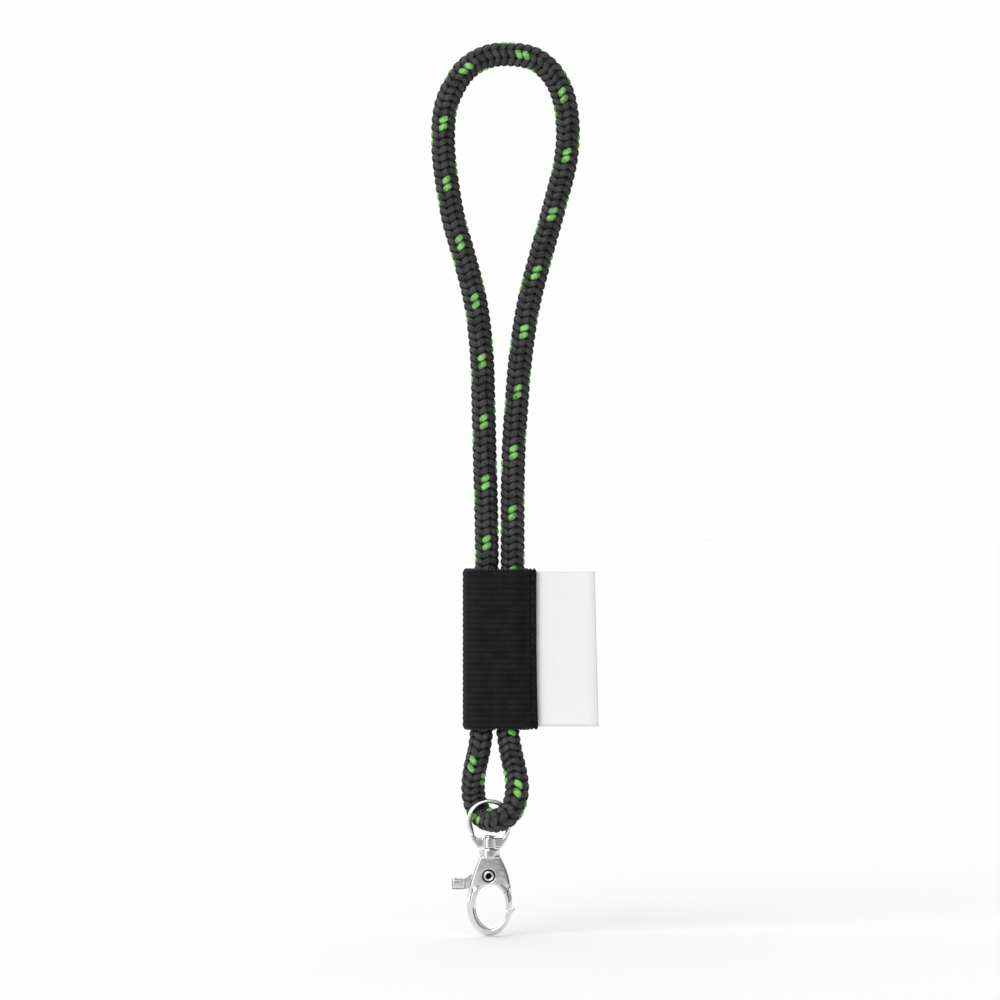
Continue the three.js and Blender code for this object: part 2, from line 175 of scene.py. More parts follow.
def yarn(lead, way, start):
    """One lead of one yarn: a flat oval swept once round the cord, rising and diving as it goes.
    way is 1 for a yarn that climbs to the right, -1 for one that climbs to the left."""
    bm = bmesh.new()
    ring = bmesh.ops.create_circle(bm, cap_ends=False, segments=yarn_sides, radius=1)["verts"]
    slope = math.atan(2 * math.pi * yarn_radius / lead)
    section = Matrix.Diagonal((yarn_thickness / 2, yarn_width / 2, 1, 1))
    lean = Matrix.Rotation(-way * slope, 4, "X")
    place = Matrix.Rotation(start, 4, "Z") @ Matrix.Translation((yarn_radius, 0, 0))
    bmesh.ops.transform(bm, matrix=place @ lean @ section, verts=ring)
    bmesh.ops.spin(
        bm, geom=bm.verts[:] + bm.edges[:], cent=(0, 0, 0), axis=(0, 0, 1),
        dvec=(0, 0, lead / yarn_steps), angle=way * 2 * math.pi, steps=yarn_steps,
        use_duplicate=False,
    )
    uv = bm.loops.layers.uv.new("yarn")
    crown = bm.verts.layers.float.new("crown")
    bm.verts.ensure_lookup_table()
    for step in range(yarn_steps + 1):
        turn = start + way * 2 * math.pi * step / yarn_steps
        height = way * float_wave(turn)
        outward = Vector((math.cos(turn), math.sin(turn), 0))
        row = bm.verts[step * yarn_sides:(step + 1) * yarn_sides]
        middle = sum((vert.co for vert in row), Vector()) / yarn_sides
        for vert in row:
            facing = (vert.co - middle).dot(outward) / (yarn_thickness / 2)
            # crown: painted light on a float's top, painted shade on its flanks and where it dives under.
            vert[crown] = (1 + height) * (1 + facing) / 4
            vert.co = middle + (vert.co - middle) * (1 + yarn_swell * height)
            vert.co += outward * yarn_rise * height
            vert.co.z -= yarn_lag * math.sin(columns * turn)
    bm.verts.index_update()
    for face in bm.faces:
        face.smooth = True
        sides = [loop.vert.index % yarn_sides for loop in face.loops]
        wraps = max(sides) - min(sides) > 1
        for loop, side in zip(face.loops, sides):
            along = loop.vert.index // yarn_sides / yarn_steps
            loop[uv].uv = ((side or yarn_sides * wraps) / yarn_sides, along)
    mesh = bpy.data.meshes.new("yarn")
    bm.to_mesh(mesh)
    bm.free()
    return mesh


def braid(name, leads, lead, marker_way, marker_first, phase):
    """A straight braid standing on z = 0, whole leads long. Its second material is the marker's."""
    bm = bmesh.new()
    for way in (1, -1):
        for carrier in range(carriers_each_way):
            strand = yarn(lead, way, 2 * math.pi * carrier / carriers_each_way)
            known = len(bm.faces)
            bm.from_mesh(strand)
            bpy.data.meshes.remove(strand)
            marked = way == marker_way and (carrier - marker_first) % carriers_each_way < 2
            bm.faces.ensure_lookup_table()
            for face in bm.faces[known:]:
                face.material_index = int(marked)
    bmesh.ops.rotate(bm, verts=bm.verts, cent=(0, 0, 0), matrix=Matrix.Rotation(phase, 3, "Z"))
    mesh = bpy.data.meshes.new(name)
    bm.to_mesh(mesh)
    bm.free()
    piece = bpy.data.objects.new(name, mesh)
    scene.collection.objects.link(piece)
    repeat = piece.modifiers.new("leads", "ARRAY")
    repeat.use_relative_offset = False
    repeat.use_constant_offset = True
    repeat.constant_offset_displace = (0, 0, lead)
    repeat.count = leads
    repeat.use_merge_vertices = True
    repeat.merge_threshold = 0.02 * MM
    return piece


def bent_along(piece, curve):
    """The straight piece, bent to follow the centre line, with its cut ends closed."""
    guide = bpy.data.objects.new("guide", curve)
    scene.collection.objects.link(guide)
    bend = piece.modifiers.new("bend", "CURVE")
    bend.object = guide
    bend.deform_axis = "POS_Z"
    bpy.context.view_layer.update()
    seen = piece.evaluated_get(bpy.context.evaluated_depsgraph_get())
    done = bpy.data.meshes.new_from_object(seen)
    piece.modifiers.clear()
    bpy.data.objects.remove(guide)
    bm = bmesh.new()
    bm.from_mesh(done)
    rims = [edge for edge in bm.edges if edge.is_boundary]
    bmesh.ops.holes_fill(bm, edges=rims, sides=max(yarn_sides, core_sides))
    bmesh.ops.recalc_face_normals(bm, faces=bm.faces)
    bm.to_mesh(done)
    bm.free()
    piece.data = done


def core(name, length):
    """The straight bundle of core yarns, as one tube as long as the cord."""
    bm = bmesh.new()
    rim = bmesh.ops.create_circle(bm, cap_ends=False, segments=core_sides, radius=core_radius)
    steps = round(length / cord_diameter * 2)
    bmesh.ops.spin(
        bm, geom=rim["verts"] + bm.edges[:], cent=(0, 0, 0), axis=(0, 0, 1),
        dvec=(0, 0, length / steps), angle=0, steps=steps, use_duplicate=False,
    )
    for face in bm.faces:
        face.smooth = True
    mesh = bpy.data.meshes.new(name)
    bm.to_mesh(mesh)
    bm.free()
    piece = bpy.data.objects.new(name, mesh)
    scene.collection.objects.link(piece)
    return piece


def node(tree, kind, inputs, **settings):
    """Adds a shader node. Each input is a value, or the output socket that feeds it."""
    made = tree.nodes.new(kind)
    for setting, value in settings.items():
        setattr(made, setting, value)
    for socket, value in inputs.items():
        if isinstance(value, bpy.types.NodeSocket):
            tree.links.new(value, made.inputs[socket])
        else:
            made.inputs[socket].default_value = value
    return made


def effect(name, inputs):
    """An empty effect group: a Vector and named numbers go in, a Shade and a Height come out."""
    tree = bpy.data.node_groups.new(name, "ShaderNodeTree")
    tree.interface.new_socket("Vector", in_out="INPUT", socket_type="NodeSocketVector")
    for socket, value in inputs.items():
        made = tree.interface.new_socket(socket, in_out="INPUT", socket_type="NodeSocketFloat")
        made.default_value = value
    for socket in ("Shade", "Height"):
        tree.interface.new_socket(socket, in_out="OUTPUT", socket_type="NodeSocketFloat")
    return tree, tree.nodes.new("NodeGroupInput").outputs, tree.nodes.new("NodeGroupOutput")


def finish_of(name, group, values, uv, dark, light, relief, crown=False, **shader_values):
    """A material whose colour runs from dark to light, and whose relief follows, an effect group.
    uv names the map that the effect follows, or is None for the piece's own space."""
    material = bpy.data.materials.new(name)
    material.use_nodes = True
    tree = material.node_tree
    shader = tree.nodes["Principled BSDF"]
    if uv:
        place = node(tree, "ShaderNodeUVMap", {}, uv_map=uv).outputs["UV"]
    else:
        place = node(tree, "ShaderNodeTexCoord", {}).outputs["Object"]
    pattern = node(tree, "ShaderNodeGroup", {}, node_tree=group)
    tree.links.new(place, pattern.inputs["Vector"])
    for socket, value in values.items():
        pattern.inputs[socket].default_value = value
    if crown:
        height = node(tree, "ShaderNodeAttribute", {}, attribute_name="crown")
        tree.links.new(height.outputs["Fac"], pattern.inputs["Crown"])
    colour = node(
        tree, "ShaderNodeMix", {0: pattern.outputs["Shade"], 6: (*dark, 1), 7: (*light, 1)},
        data_type="RGBA",
    )
    tree.links.new(colour.outputs[2], shader.inputs["Base Color"])
    bump = node(
        tree, "ShaderNodeBump",
        {"Height": pattern.outputs["Height"], "Distance": relief, "Strength": 1.0},
    )
    tree.links.new(bump.outputs["Normal"], shader.inputs["Normal"])
    for socket, value in shader_values.items():
        shader.inputs[socket.replace("_", " ")].default_value = value
    return material


# Twisted filaments: long thin streaks that lean across the yarn, with slow changes of tone. The
# yarn's colour is painted palest on the crown of each float and darker on its flanks: painted light and
# shade.
fibre, given, result = effect("fibre", {"Across": 9.0, "Along": 3.0, "Twist": 4.0, "Crown": 0.8})
turn = node(fibre, "ShaderNodeSeparateXYZ", {0: given["Vector"]})
lean = node(fibre, "ShaderNodeMath", {0: turn.outputs["Y"], 1: given["Twist"]}, operation="MULTIPLY")
around = node(fibre, "ShaderNodeMath", {0: turn.outputs["X"], 1: lean.outputs[0]}, operation="ADD")
wide = node(fibre, "ShaderNodeMath", {0: around.outputs[0], 1: given["Across"]}, operation="MULTIPLY")
long = node(fibre, "ShaderNodeMath", {0: turn.outputs["Y"], 1: given["Along"]}, operation="MULTIPLY")
streak = node(fibre, "ShaderNodeCombineXYZ", {"X": wide.outputs[0], "Y": long.outputs[0]})
strands = node(
    fibre, "ShaderNodeTexNoise",
    {"Vector": streak.outputs[0], "Scale": 1.0, "Detail": 3.0, "Roughness": 0.6},
)
solid_place = node(fibre, "ShaderNodeTexCoord", {})
patches = node(
    fibre, "ShaderNodeTexNoise",
    {"Vector": solid_place.outputs["Object"], "Scale": 420.0, "Detail": 2.0, "Roughness": 0.6},
)
tone = node(
    fibre, "ShaderNodeMath", {0: patches.outputs["Fac"], 1: strands.outputs["Fac"]}, operation="MULTIPLY",
)
spread = node(
    fibre, "ShaderNodeMapRange",
    {"Value": tone.outputs[0], "From Min": 0.14, "From Max": 0.34, "To Min": 0.3, "To Max": 1.2},
    clamp=False,
)
# The Crown input paints light and shade into the colour: pale on a float's top, dark on its flanks and
# dives.
crown_light = node(
    fibre, "ShaderNodeMapRange",
    {"Value": given["Crown"], "From Min": 0.3, "From Max": 0.95, "To Min": 0.0, "To Max": 1.0},
    interpolation_type="SMOOTHSTEP",
)
lit = node(fibre, "ShaderNodeMath", {0: spread.outputs[0], 1: crown_light.outputs[0]}, operation="MULTIPLY")
fibre.links.new(lit.outputs[0], result.inputs["Shade"])
fibre.links.new(strands.outputs["Fac"], result.inputs["Height"])

yarn_look = {"Across": 10.0, "Along": 26.0, "Twist": 5.0}
ground_yarn = finish_of(
    "ground_yarn", fibre, yarn_look, "yarn", (0.006, 0.006, 0.0062), (0.058, 0.058, 0.06), 0.09 * MM,
    crown=True, Roughness=0.62, Sheen_Weight=0.06, Sheen_Roughness=0.5, Specular_IOR_Level=0.15,
)
marker_yarn = finish_of(
    "marker_yarn", fibre, yarn_look, "yarn", (0.006, 0.035, 0.004), (0.26, 0.62, 0.16), 0.09 * MM,
    crown=True, Roughness=0.55, Sheen_Weight=0.06, Sheen_Roughness=0.5, Specular_IOR_Level=0.25,
)
core_yarn = finish_of(
    "core_yarn", fibre, {"Across": 300.0, "Along": 60.0, "Twist": 0.5}, None,
    (0.012, 0.012, 0.012), (0.03, 0.03, 0.03), 0.1 * MM, Roughness=0.9,
)

hand_route = route(hand_loop_points, left_joint + cut_gap, right_joint + cut_gap, 0.0)
lower_route = route(lower_loop_points, left_joint - cut_gap, right_joint - cut_gap, 1.67)
for name, curve, marker_way, marker_first, phase, mouth in (
    ("hand_loop", hand_route, 1, 6, 0.0, sleeve_high.z),
    ("lower_loop", lower_route, -1, 7, -0.8, sleeve_low.z),
):
    line = line_of(curve)
    length = sum((b - a).length for a, b in zip(line, line[1:]))
    leads = round(length / braid_lead)
    sheath = braid(name + "_braid", leads, length / leads, marker_way, marker_first, phase)
    yarns = core(name + "_core_yarns", length)
    for piece in (sheath, yarns):
        bent_along(piece, curve)
    sheath.data.materials.append(ground_yarn)
    sheath.data.materials.append(marker_yarn)
    yarns.data.materials.append(core_yarn)
    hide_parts(name + "_sheath")
    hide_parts(name + "_core")
    for piece in (sheath, yarns):
        if name == "hand_loop":
            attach(piece, "root")
        else:
            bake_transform(piece)
    print(name, "length", round(length / MM, 1), "mm,", leads, "leads,", len(sheath.data.polygons))


# ---------------------------------------------------------------------------------------------
# Joint wraps: two short sleeves of black cloth tape, hidden inside the webbing, that hold the cut
# ends of the two cords end to end. They keep the shape the model gives them.
# ---------------------------------------------------------------------------------------------
tape = finish_of(
    "tape", fibre, {"Across": 900.0, "Along": 250.0, "Twist": 0.0}, None,
    (0.01, 0.01, 0.01), (0.03, 0.03, 0.03), 0.06 * MM, Roughness=0.85,
)


def cover(part, material):
    """Gives a part that keeps its modelled shape its finished material."""
    part.data.materials.clear()
    part.data.materials.append(material)


for side in ("left", "right"):
    cover(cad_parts["joint_wrap_" + side], tape)


# ---------------------------------------------------------------------------------------------
# Sleeve: a strip of black ribbed webbing folded round the two cords at the left, its two ends
# sewn together at the right. Its top and bottom edges are oversewn with thick thread.
# ---------------------------------------------------------------------------------------------
webbing_thickness = 0.9 * MM
fold_radius = 5.05 * MM
seam_half = 1.35 * MM
seam_pinch = 0.16 * MM
seam_end = 8.0 * MM
right_cord = 1.1 * MM
rib_pitch = 1.65 * MM
rib_height = 0.32 * MM
rows_per_rib = 8
column_width = 0.62 * MM
foot_flare = 0.55 * MM
crease_depth = 0.16 * MM
crease_width = 0.35 * MM

fold_middle = sleeve_low.x + fold_radius
seam_angle = math.asin(seam_half / fold_radius)
seam_start = right_cord + fold_radius * math.cos(seam_angle)
quarter = math.pi / 2
sleeve_section = [
    ("line", Vector((seam_end, seam_pinch - seam_half, 0)), Vector((seam_start, -seam_half, 0))),
    ("arc", right_cord, -seam_angle, -quarter),
    ("line", Vector((right_cord, -fold_radius, 0)), Vector((fold_middle, -fold_radius, 0))),
    ("arc", fold_middle, -quarter, -3 * quarter),
    ("line", Vector((fold_middle, fold_radius, 0)), Vector((right_cord, fold_radius, 0))),
    ("arc", right_cord, quarter, seam_angle),
    ("line", Vector((seam_start, seam_half, 0)), Vector((seam_end, seam_half - seam_pinch, 0))),
]


def run_of(part):
    """How long a line or an arc of the section is."""
    if part[0] == "line":
        return (part[2] - part[1]).length
    return abs(part[3] - part[2]) * fold_radius


strip_length = sum(run_of(part) for part in sleeve_section)


def on_section(reach):
    """The point of the sleeve's outside at a distance along the strip, and the way out of it."""
    for part in sleeve_section:
        run = run_of(part)
        if reach <= run or part is sleeve_section[-1]:
            break
        reach -= run
    if part[0] == "line":
        way = (part[2] - part[1]).normalized()
        return part[1] + way * reach, Vector((-way.y, way.x, 0))
    angle = part[2] + (part[3] - part[2]) * reach / run
    outward = Vector((math.cos(angle), math.sin(angle), 0))
    return Vector((part[1], 0, 0)) + outward * fold_radius, outward


def flared(place):
    """The seam's side spreads a little towards the foot of the sleeve."""
    down = 1 - (place.z - sleeve_low.z) / (sleeve_high.z - sleeve_low.z)
    return place + Vector((foot_flare * down ** 3 * max(0, place.x / seam_end), 0, 0))


edge_inset = 0.35 * MM
sleeve_height = sleeve_high.z - sleeve_low.z - 2 * edge_inset
ribs = round(sleeve_height / rib_pitch)
columns_across = round(strip_length / column_width)
creases = [
    run_of(sleeve_section[0]) + run_of(sleeve_section[1]) + run_of(sleeve_section[2])
    + fold_radius * turn for turn in (0.75, 1.1, 2.1)
]

bm = bmesh.new()
bmesh.ops.create_grid(bm, x_segments=columns_across, y_segments=ribs * rows_per_rib, size=0.5)
cloth = bm.loops.layers.uv.new("cloth")
crown = bm.verts.layers.float.new("crown")
for face in bm.faces:
    face.smooth = True
    for loop in face.loops:
        flat = loop.vert.co
        loop[cloth].uv = ((flat.x + 0.5) * strip_length, (flat.y + 0.5) * sleeve_height)
for vert in bm.verts:
    reach, rise = (vert.co.x + 0.5) * strip_length, vert.co.y + 0.5
    place, outward = on_section(reach)
    rib = abs(math.sin(math.pi * ribs * rise))
    dent = sum(math.exp(-((reach - crease) / crease_width) ** 2) for crease in creases)
    height = rib_height * (rib ** 0.6 - 1) - crease_depth * dent
    # crown: painted light on the rib tops, painted shade in the grooves and creases.
    vert[crown] = max(0, 1 + height / rib_height)
    place += outward * height
    place.z = sleeve_low.z + edge_inset + rise * sleeve_height
    vert.co = flared(place)
mesh = bpy.data.meshes.new("webbing_sleeve")
bm.to_mesh(mesh)
bm.free()
sleeve = bpy.data.objects.new("webbing_sleeve", mesh)
scene.collection.objects.link(sleeve)
wall = sleeve.modifiers.new("wall", "SOLIDIFY")
wall.thickness = webbing_thickness - rib_height
wall.offset = -1
wall.use_even_offset = True

# Webbing: the warp's fine threads cross each rib, close together, over a slightly uneven ground.
webbing_weave, given, result = effect("webbing_weave", {"Threads": 1600.0, "Crown": 1.0})
across = node(webbing_weave, "ShaderNodeSeparateXYZ", {0: given["Vector"]})
count = node(
    webbing_weave, "ShaderNodeMath", {0: across.outputs["X"], 1: given["Threads"]}, operation="MULTIPLY",
)
spun = node(webbing_weave, "ShaderNodeMath", {0: count.outputs[0], 1: math.tau}, operation="MULTIPLY")
thread_wave = node(webbing_weave, "ShaderNodeMath", {0: spun.outputs[0]}, operation="SINE")
fuzz = node(
    webbing_weave, "ShaderNodeTexNoise",
    {"Vector": given["Vector"], "Scale": 2600.0, "Detail": 2.0, "Roughness": 0.6},
)
patch = node(
    webbing_weave, "ShaderNodeTexNoise",
    {"Vector": given["Vector"], "Scale": 260.0, "Detail": 2.0, "Roughness": 0.5},
)
thread_height = node(
    webbing_weave, "ShaderNodeMath", {0: thread_wave.outputs[0], 1: 0.3, 2: fuzz.outputs["Fac"]},
    operation="MULTIPLY_ADD",
)
thread_tone = node(
    webbing_weave, "ShaderNodeMath", {0: thread_wave.outputs[0], 1: 0.18, 2: patch.outputs["Fac"]},
    operation="MULTIPLY_ADD",
)
# The Crown input paints shade into the grooves between the ribs and into the creases.
groove_shade = node(
    webbing_weave, "ShaderNodeMath", {0: thread_tone.outputs[0], 1: given["Crown"]},
    operation="MULTIPLY",
)
webbing_weave.links.new(groove_shade.outputs[0], result.inputs["Shade"])
webbing_weave.links.new(thread_height.outputs[0], result.inputs["Height"])
webbing = finish_of(
    "webbing", webbing_weave, {"Threads": 1600.0}, "cloth", (0.0015, 0.0015, 0.0016),
    (0.02, 0.02, 0.021), 0.06 * MM, crown=True,
    Roughness=0.7, Sheen_Weight=0.03, Sheen_Roughness=0.5, Specular_IOR_Level=0.08,
)
sleeve.data.materials.append(webbing)
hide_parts("sleeve")
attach(sleeve, "root")

# The oversewn edges: one thick thread loops over each edge about once a millimetre.
overlock_radius = 0.38 * MM
overlock_pitch = 1.08 * MM
overlock_sides = 6
overlock_turns = 5


def overlock(name, edge, upward, depth):
    """A row of thread loops over the sleeve's top or bottom edge, reaching depth on to the cloth."""
    bm = bmesh.new()
    loops = round(strip_length / overlock_pitch)
    over = webbing_thickness / 2
    for count in range(loops):
        place, outward = on_section((count + 0.5) * strip_length / loops)
        ring = bmesh.ops.create_circle(bm, segments=overlock_sides, radius=overlock_radius)["verts"]
        middle = place - outward * over
        start = middle + outward * over
        bmesh.ops.translate(bm, verts=ring, vec=start - Vector((0, 0, depth * upward)))
        rim = {edge for vert in ring for edge in vert.link_edges}
        run = bmesh.ops.extrude_edge_only(bm, edges=list(rim))["geom"]
        moved = [part for part in run if isinstance(part, bmesh.types.BMVert)]
        bmesh.ops.translate(bm, verts=moved, vec=(0, 0, depth * upward))
        axis = Vector((0, 0, upward)).cross(-outward)
        turned = bmesh.ops.spin(
            bm, geom=moved + [part for part in run if isinstance(part, bmesh.types.BMEdge)
                              and all(vert in moved for vert in part.verts)],
            cent=middle, axis=axis, angle=math.pi, steps=overlock_turns, use_duplicate=False,
        )["geom_last"]
        run = bmesh.ops.extrude_edge_only(
            bm, edges=[part for part in turned if isinstance(part, bmesh.types.BMEdge)],
        )["geom"]
        moved = [part for part in run if isinstance(part, bmesh.types.BMVert)]
        bmesh.ops.translate(bm, verts=moved, vec=(0, 0, -depth * upward))
    for vert in bm.verts:
        vert.co = flared(vert.co + Vector((0, 0, edge)))
    bmesh.ops.holes_fill(bm, edges=[rim for rim in bm.edges if rim.is_boundary], sides=0)
    bmesh.ops.recalc_face_normals(bm, faces=bm.faces)
    for face in bm.faces:
        face.smooth = True
    mesh = bpy.data.meshes.new(name)
    bm.to_mesh(mesh)
    bm.free()
    row = bpy.data.objects.new(name, mesh)
    scene.collection.objects.link(row)
    row.data.materials.append(edge_thread)
    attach(row, "root")
    return row


edge_thread = finish_of(
    "edge_thread", fibre, {"Across": 2500.0, "Along": 900.0, "Twist": 1.0}, None,
    (0.006, 0.006, 0.006), (0.035, 0.035, 0.036), 0.05 * MM,
    Roughness=0.6, Sheen_Weight=0.05, Specular_IOR_Level=0.15,
)
top_edge = overlock("sleeve_top_edge", sleeve_high.z - edge_inset, 1, 1.0 * MM)
bottom_edge = overlock("sleeve_bottom_edge", sleeve_low.z + edge_inset, -1, 2.1 * MM)
print("sleeve strip", round(strip_length / MM, 1), "x", round(sleeve_height / MM, 1), "mm")


# ---------------------------------------------------------------------------------------------
# Label: a strip of white satin ribbon folded double, blank, its two cut ends caught in the
# sleeve's seam. The fold stands a little open, because the ribbon is springy.
# ---------------------------------------------------------------------------------------------
ribbon_thickness = 0.18 * MM
fold_opening = 0.55 * MM
fold_reach = 2.8 * MM
seam_gap = 0.16 * MM
label_columns = 96
label_rows = 44
label_low, label_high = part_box("label_flap")
tab_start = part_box("label_tab")[0].x
label_top_width = label_high.x - 1.1 * MM - tab_start
label_foot_width = label_high.x - tab_start
label_height = label_high.z - label_low.z


def label_half(outward):
    """How far one layer stands from the label's middle, at a share of the way to the fold."""
    from_fold = (1 - outward) * label_foot_width
    if from_fold < fold_reach:
        return fold_opening * math.sqrt(1 - (1 - from_fold / fold_reach) ** 2)
    share = (from_fold - fold_reach) / (label_foot_width - fold_reach)
    return fold_opening + (seam_gap - fold_opening) * share ** 0.8


bm = bmesh.new()
bmesh.ops.create_grid(bm, x_segments=label_columns, y_segments=label_rows, size=1)
cloth = bm.loops.layers.uv.new("cloth")
for face in bm.faces:
    face.smooth = True
    for loop in face.loops:
        flat = loop.vert.co
        loop[cloth].uv = (flat.x * label_foot_width, flat.y * label_height / 2)
for vert in bm.verts:
    side, rise = vert.co.x, (vert.co.y + 1) / 2
    outward = math.sin(quarter * (1 - abs(side)))
    width = label_foot_width + (label_top_width - label_foot_width) * rise
    bow = 0.18 * MM * math.sin(math.pi * rise * 1.3 + 0.6) * outward ** 2
    half = label_half(outward) * (-1 if side < 0 else 1)
    vert.co = (tab_start + width * outward, half + bow, label_low.z + rise * label_height)
bmesh.ops.remove_doubles(bm, verts=bm.verts, dist=0.001 * MM)
bmesh.ops.recalc_face_normals(bm, faces=bm.faces)
mesh = bpy.data.meshes.new("satin_label")
bm.to_mesh(mesh)
bm.free()
label = bpy.data.objects.new("satin_label", mesh)
scene.collection.objects.link(label)
ribbon = label.modifiers.new("ribbon", "SOLIDIFY")
ribbon.thickness = ribbon_thickness
ribbon.offset = 0

# Satin: long floats close together one way, their ends staggered the other way.
satin_weave, given, result = effect("satin_weave", {"Threads": 6500.0, "Picks": 3200.0})
satin_place = node(satin_weave, "ShaderNodeSeparateXYZ", {0: given["Vector"]})
waves = []
for axis, pitch in (("X", "Threads"), ("Y", "Picks")):
    many = node(
        satin_weave, "ShaderNodeMath", {0: satin_place.outputs[axis], 1: given[pitch]},
        operation="MULTIPLY",
    )
    wound = node(satin_weave, "ShaderNodeMath", {0: many.outputs[0], 1: math.tau}, operation="MULTIPLY")
    waves.append(node(satin_weave, "ShaderNodeMath", {0: wound.outputs[0]}, operation="SINE").outputs[0])
crossing = node(satin_weave, "ShaderNodeMath", {0: waves[0], 1: waves[1]}, operation="MULTIPLY")
ripple = node(
    satin_weave, "ShaderNodeTexNoise",
    {"Vector": given["Vector"], "Scale": 170.0, "Detail": 2.0, "Roughness": 0.5},
)
satin_height = node(
    satin_weave, "ShaderNodeMath", {0: crossing.outputs[0], 1: 0.12, 2: ripple.outputs["Fac"]},
    operation="MULTIPLY_ADD",
)
satin_tone = node(
    satin_weave, "ShaderNodeMath", {0: crossing.outputs[0], 1: 0.25, 2: ripple.outputs["Fac"]},
    operation="MULTIPLY_ADD",
)
satin_weave.links.new(satin_tone.outputs[0], result.inputs["Shade"])
satin_weave.links.new(satin_height.outputs[0], result.inputs["Height"])
satin = finish_of(
    "satin", satin_weave, {"Threads": 6500.0, "Picks": 3200.0}, "cloth", (0.79, 0.79, 0.787),
    (0.84, 0.84, 0.84), 0.05 * MM,
    Roughness=0.5, Sheen_Weight=0.1, Specular_IOR_Level=0.3,
)
label.data.materials.append(satin)
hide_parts("label_flap", "label_tab")
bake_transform(label)


# ---------------------------------------------------------------------------------------------
# Seam threads: the lockstitch that closes the sleeve and holds the label. Each stitch is a short
# bar of black bonded thread, its ends diving into the webbing; front and back are alike.
# ---------------------------------------------------------------------------------------------
stitch_radius = 0.24 * MM
stitch_pitch = 2.2 * MM
stitch_sides = 8
stitch_steps = 10

for side, outward in (("front", -1), ("back", 1)):
    low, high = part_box("seam_thread_" + side)
    stitches = round((high.z - low.z) / stitch_pitch)
    middle = (low + high) / 2
    bm = bmesh.new()
    for count in range(stitches):
        ring = bmesh.ops.create_circle(bm, segments=stitch_sides, radius=stitch_radius)["verts"]
        rim = list({edge for vert in ring for edge in vert.link_edges})
        run = 0.86 * stitch_pitch
        bmesh.ops.spin(
            bm, geom=ring + rim, cent=(0, 0, 0), axis=(0, 0, 1), dvec=(0, 0, run / stitch_steps),
            angle=0, steps=stitch_steps, use_duplicate=False,
        )
        bm.verts.ensure_lookup_table()
        for vert in bm.verts[-stitch_sides * (stitch_steps + 1):]:
            along = vert.co.z / run
            dive = (2 * along - 1) ** 4
            vert.co.x *= 1 - 0.25 * dive
            vert.co.y = vert.co.y * (1 - 0.25 * dive) - outward * 0.45 * MM * dive
            vert.co.x += 0.12 * MM * (along - 0.5)
            vert.co += Vector((middle.x, middle.y - outward * 0.12 * MM, low.z + count * stitch_pitch))
    bmesh.ops.holes_fill(bm, edges=[edge for edge in bm.edges if edge.is_boundary], sides=0)
    bmesh.ops.recalc_face_normals(bm, faces=bm.faces)
    for face in bm.faces:
        face.smooth = True
    mesh = bpy.data.meshes.new("stitches_" + side)
    bm.to_mesh(mesh)
    bm.free()
    stitch_row = bpy.data.objects.new("stitches_" + side, mesh)
    scene.collection.objects.link(stitch_row)
    stitch_row.data.materials.append(edge_thread)
    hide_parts("seam_thread_" + side)
    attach(stitch_row, "root")


# ---------------------------------------------------------------------------------------------
# Swivel eye: a die-cast zinc ring with a boss under it, bright nickel plated. Casting and barrel
# polishing leave every edge soft, so the modelled shape is filled with even faces and eased.
# ---------------------------------------------------------------------------------------------
# How far the easing fills a crease before its painted shade is full.
crease_shade_fill = 0.1 * MM


def apply_modifiers(piece):
    """Makes the piece's mesh what its modifiers show."""
    bpy.context.view_layer.update()
    seen = piece.evaluated_get(bpy.context.evaluated_depsgraph_get())
    done = bpy.data.meshes.new_from_object(seen)
    piece.modifiers.clear()
    piece.data = done


def cast(name, part, grain, passes, swell, shaped):
    """A part's modelled shape with soft cast edges: even faces, eased, brought back to size, and
    then shaped by a function that moves one point and says how much painted shade it gets. What
    the easing fills is a crease: the recess attribute holds that, as painted shade in the colour."""
    bm = bmesh.new()
    bm.from_mesh(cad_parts[part].data)
    bmesh.ops.remove_doubles(bm, verts=bm.verts, dist=0.002 * MM)
    mesh = bpy.data.meshes.new(name)
    bm.to_mesh(mesh)
    bm.free()
    piece = bpy.data.objects.new(name, mesh)
    scene.collection.objects.link(piece)
    even = piece.modifiers.new("even", "REMESH")
    even.mode = "VOXEL"
    even.voxel_size = grain
    apply_modifiers(piece)
    before = [vert.co.copy() for vert in piece.data.vertices]
    ease = piece.modifiers.new("ease", "SMOOTH")
    ease.factor = 0.5
    ease.iterations = passes
    apply_modifiers(piece)
    recess = piece.data.attributes.new("recess", "FLOAT", "POINT")
    for vert, sharp, crease_shade in zip(piece.data.vertices, before, recess.data):
        filled = (vert.co - sharp).dot(vert.normal)
        crease_shade.value = min(1, max(0, filled / crease_shade_fill))
    grow = piece.modifiers.new("grow", "DISPLACE")
    grow.strength = swell
    grow.mid_level = 0
    apply_modifiers(piece)
    recess = piece.data.attributes["recess"]
    for vert, crease_shade in zip(piece.data.vertices, recess.data):
        vert.co, dark = shaped(vert.co)
        crease_shade.value = max(crease_shade.value, dark)
    for face in piece.data.polygons:
        face.use_smooth = True
    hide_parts(part)
    print(name, len(piece.data.polygons), "faces")
    return piece


